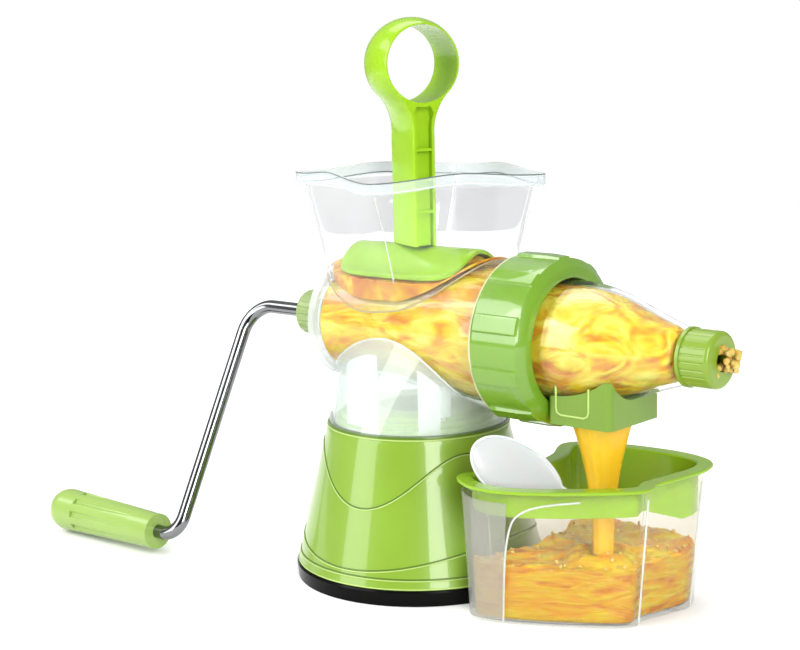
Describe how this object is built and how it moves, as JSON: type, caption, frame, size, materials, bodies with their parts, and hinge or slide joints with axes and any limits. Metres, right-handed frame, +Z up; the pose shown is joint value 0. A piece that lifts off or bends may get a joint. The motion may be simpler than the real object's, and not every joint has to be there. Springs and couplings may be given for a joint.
{
  "type": "hand-cranked juice press",
  "caption": "Hand-cranked single-auger juice press on a suction base, with a clear feed hopper and pusher, a clear nose with a juice spout, and a cup that fits against the base.",
  "frame": {"origin": "middle of the suction base, on the surface that it stands on", "axes": "+X along the barrel from the crank to the pulp outlet, +Z up, -Y towards the side with the crank at rest"},
  "size_m": [0.378, 0.1414, 0.272],
  "materials": {
    "green_plastic": "glossy moulded plastic",
    "lime_plastic": "glossy moulded plastic, slightly translucent",
    "clear_plastic": "clear moulded plastic",
    "frosted_plastic": "frosted moulded plastic",
    "white_plastic": "smooth moulded plastic",
    "black_plastic": "satin moulded plastic",
    "black_rubber": "glossy black rubber",
    "grey_rubber": "matte silicone rubber",
    "polished_steel": "polished stainless rod",
    "screen_steel": "perforated stainless sheet",
    "screw_steel": "plated screws"
  },
  "bodies": {
    "stand": {"suction_cup": "black_rubber", "base_plate": "black_plastic", "base_shell": "green_plastic", "base_screws": "screw_steel", "neck_gasket": "clear_plastic", "barrel_body": "clear_plastic", "neck_screws": "screw_steel", "feed_hopper": "clear_plastic", "rear_bushing": "white_plastic", "rear_seal": "grey_rubber", "strainer_screen": "screen_steel", "collar_gasket": "grey_rubber", "front_cone": "clear_plastic", "juice_spout": "green_plastic"},
    "collar": {"locking_collar": "green_plastic"},
    "outlet_washer": {"outlet_seal": "grey_rubber"},
    "outlet_nut": {"outlet_cap": "green_plastic"},
    "crank": {"crank_hub": "green_plastic", "crank_rod": "polished_steel", "drive_shaft": "polished_steel", "auger": "white_plastic"},
    "grip": {"crank_grip": "green_plastic"},
    "pusher": {"pusher_handle": "lime_plastic", "pusher_plate": "lime_plastic"},
    "cup": {"cup_body": "clear_plastic", "cup_insert": "green_plastic"},
    "paddle": {"scoop": "frosted_plastic"},
    "lever": {"lever_shaft": "polished_steel", "suction_lever": "green_plastic"},
    "plunger": {"suction_plunger": "black_plastic"}
  },
  "joints": [
    {"name": "crank_turn", "type": "hinge", "parent": "stand", "child": "crank", "pos_m": [-0.06, 0, 0.1237], "axis": [1, 0, 0], "continuous": true},
    {"name": "grip_spin", "type": "hinge", "parent": "crank", "child": "grip", "pos_m": [-0.165, -0.06396, 0.01202], "axis": [1, 0, 0], "continuous": true},
    {"name": "collar_turn", "type": "hinge", "parent": "stand", "child": "collar", "pos_m": [0.078, 0, 0.1237], "axis": [1, 0, 0], "range_deg": [0, 30]},
    {"name": "outlet_turn", "type": "hinge", "parent": "outlet_washer", "child": "outlet_nut", "pos_m": [0.163, 0, 0.1237], "axis": [1, 0, 0], "range_deg": [0, 720]},
    {"name": "outlet_advance", "type": "slide", "parent": "stand", "child": "outlet_washer", "axis": [1, 0, 0], "range_m": [0, 0.0062]},
    {"name": "pusher_slide", "type": "slide", "parent": "stand", "child": "pusher", "axis": [0, 0, 1], "range_m": [0, 0.12]},
    {"name": "cup_slide", "type": "slide", "parent": "stand", "child": "cup", "axis": [1, 0, 0], "range_m": [0, 0.12]},
    {"name": "scoop_slide", "type": "slide", "parent": "cup", "child": "paddle", "axis": [0.5202, 0.2701, -0.8102], "range_m": [0, 0.018]},
    {"name": "lever_turn", "type": "hinge", "parent": "stand", "child": "lever", "pos_m": [0, 0.04, 0.026], "axis": [0, -1, 0], "range_deg": [0, 90]},
    {"name": "plunger_lift", "type": "slide", "parent": "stand", "child": "plunger", "axis": [0, 0, 1], "range_m": [0, 0.0032]}
  ],
  "couplings": [
    {"joint": "outlet_advance", "follows": "outlet_turn", "m_per_rad": 0.00047746},
    {"joint": "plunger_lift", "follows": "lever_turn", "m_per_rad": 0.0019807}
  ]
}
